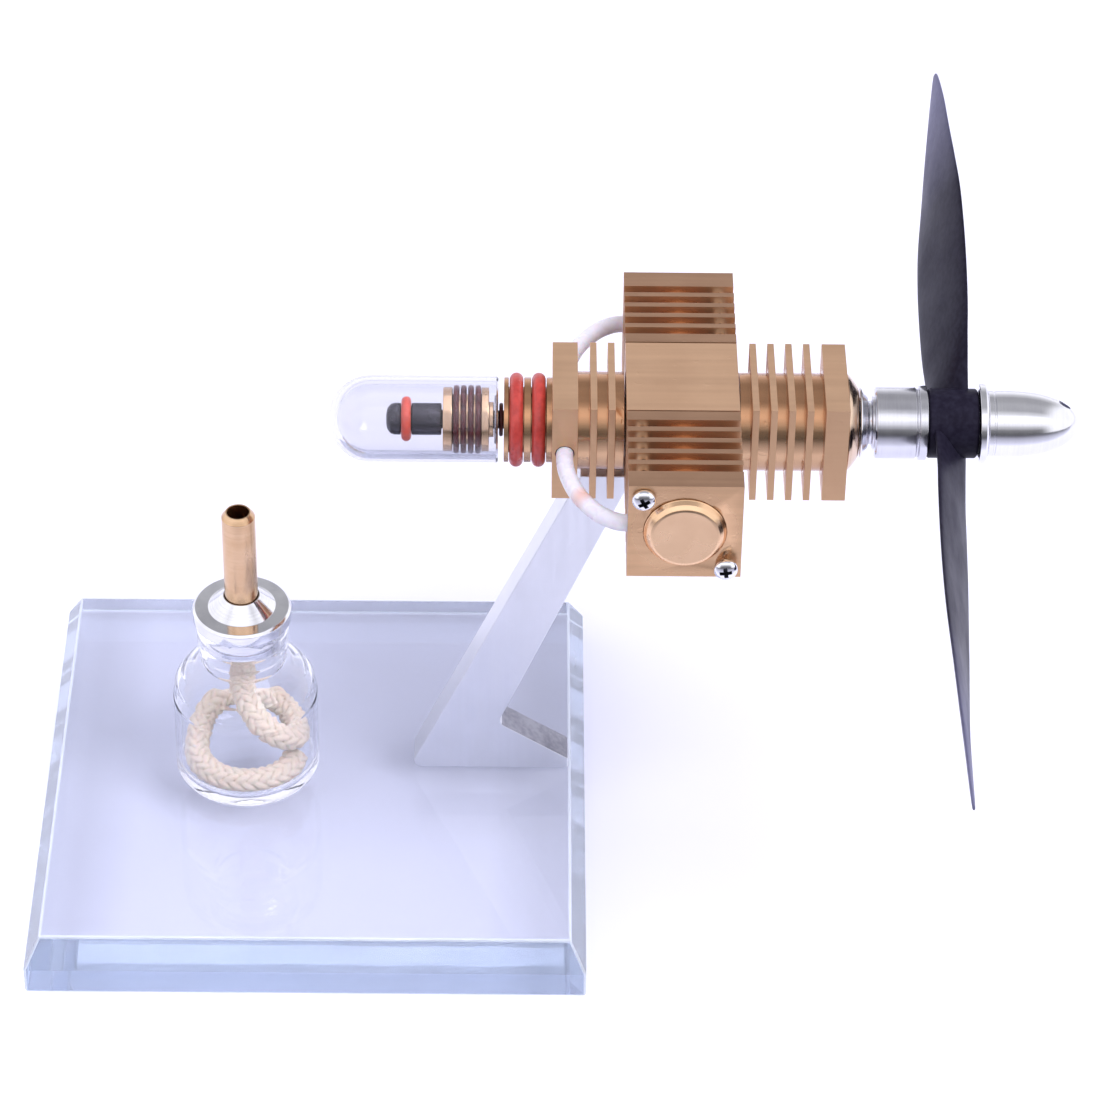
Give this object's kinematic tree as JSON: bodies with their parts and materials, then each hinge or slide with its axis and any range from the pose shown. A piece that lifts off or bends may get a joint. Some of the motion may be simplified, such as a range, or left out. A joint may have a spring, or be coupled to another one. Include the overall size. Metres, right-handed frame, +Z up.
{
  "type": "stirling engine model",
  "caption": "Opposed two-cylinder hot-air engine in finned brass bar with a glass displacer, driving a propeller, on a glass base with a wick lamp.",
  "frame": {"origin": "middle of the glass base's underside", "axes": "+X along the crankshaft towards the propeller, +Y away from the front cylinder, +Z up"},
  "size_m": [0.1851, 0.1442, 0.1183],
  "materials": {
    "brass": "satin machined brass bar with fine tool lines",
    "crystal_glass": "polished clear glass with a faint lavender-blue tint",
    "clear_glass": "clear thin lamp and laboratory glass",
    "satin_aluminium": "satin milled aluminium",
    "polished_aluminium": "bright turned aluminium",
    "chrome": "bright plated screws",
    "steel": "ground steel",
    "bronze": "plain bearing bronze",
    "red_silicone": "red silicone seals",
    "orange_silicone": "orange-red silicone ring",
    "brown_rubber": "brown fluoro-rubber rings",
    "milky_silicone": "translucent milky silicone tube",
    "black_plastic": "black moulded plastic with a soft gloss",
    "graphite": "dark ground piston",
    "cotton": "braided natural cotton"
  },
  "bodies": {
    "engine": {"base_plate": "crystal_glass", "stand_bracket": "satin_aluminium", "crankcase": "brass", "cold_end_housing": "brass", "nose_housing": "brass", "nose_cap": "brass", "spindle_gland": "bronze", "left_main_bush": "bronze", "inner_ball_race": "steel", "nose_ball_race": "steel", "hot_cap_seal_1": "red_silicone", "hot_cap_seal_2": "red_silicone", "gas_tube_front": "milky_silicone", "gas_tube_back": "milky_silicone", "cylinder_block_front": "brass", "cylinder_block_back": "brass", "cylinder_head_front": "brass", "cylinder_head_back": "brass", "block_screw_front_upper": "chrome", "block_screw_front_lower": "chrome", "block_screw_back_upper": "chrome", "block_screw_back_lower": "chrome"},
    "crank": {"crankshaft": "steel", "propeller": "black_plastic", "thrust_collar": "polished_aluminium", "prop_adapter": "polished_aluminium", "prop_washer": "polished_aluminium", "spinner_nut": "polished_aluminium"},
    "displacer": {"displacer_glass": "clear_glass", "displacer_plug": "brass", "displacer_seal_1": "brown_rubber", "displacer_seal_2": "brown_rubber", "displacer_seal_3": "brown_rubber", "displacer_seal_4": "brown_rubber", "displacer_spindle": "steel", "spindle_ring": "orange_silicone", "bumper_washer": "steel", "bumper_ring": "brown_rubber"},
    "eccentric_front": {"eccentric_bush_front": "bronze"},
    "eccentric_back": {"eccentric_bush_back": "bronze"},
    "power_piston_front": {"piston_front": "graphite", "wrist_pin_front": "steel", "connecting_rod_front": "satin_aluminium"},
    "power_piston_back": {"piston_back": "graphite", "wrist_pin_back": "steel", "connecting_rod_back": "satin_aluminium"},
    "lamp": {"lamp_bottle": "clear_glass", "wick": "cotton"},
    "burner": {"lamp_collar": "polished_aluminium", "wick_tube": "brass"}
  },
  "joints": [
    {"name": "crank_spin", "type": "hinge", "parent": "engine", "child": "crank", "pos_m": [0.0655, 0.0014, 0.09], "axis": [1, 0, 0], "continuous": true},
    {"name": "eccentric_front_turn", "type": "hinge", "parent": "crank", "child": "eccentric_front", "pos_m": [0.06725, 0.0014, 0.0917], "axis": [1, 0, 0], "continuous": true},
    {"name": "eccentric_back_turn", "type": "hinge", "parent": "crank", "child": "eccentric_back", "pos_m": [0.06375, 0.0014, 0.0883], "axis": [1, 0, 0], "continuous": true},
    {"name": "piston_front_stroke", "type": "hinge", "parent": "eccentric_front", "child": "power_piston_front", "pos_m": [0.06725, 0.0014, 0.09], "axis": [1, 0, 0], "continuous": true},
    {"name": "piston_back_stroke", "type": "hinge", "parent": "eccentric_back", "child": "power_piston_back", "pos_m": [0.06375, 0.0014, 0.09], "axis": [1, 0, 0], "continuous": true},
    {"name": "displacer_stroke", "type": "slide", "parent": "engine", "child": "displacer", "axis": [-1, 0, 0], "range_m": [0, 0.0075]},
    {"name": "lamp_lift", "type": "slide", "parent": "engine", "child": "lamp", "axis": [0, 0, 1], "range_m": [0, 0.04]},
    {"name": "burner_lift", "type": "slide", "parent": "lamp", "child": "burner", "axis": [0, 0, 1], "range_m": [0, 0.02]}
  ],
  "couplings": [
    {"joint": "eccentric_front_turn", "follows": "crank_spin", "ratio": -2},
    {"joint": "eccentric_back_turn", "follows": "crank_spin", "ratio": -2},
    {"joint": "piston_front_stroke", "follows": "crank_spin", "ratio": 1},
    {"joint": "piston_back_stroke", "follows": "crank_spin", "ratio": 1}
  ]
}
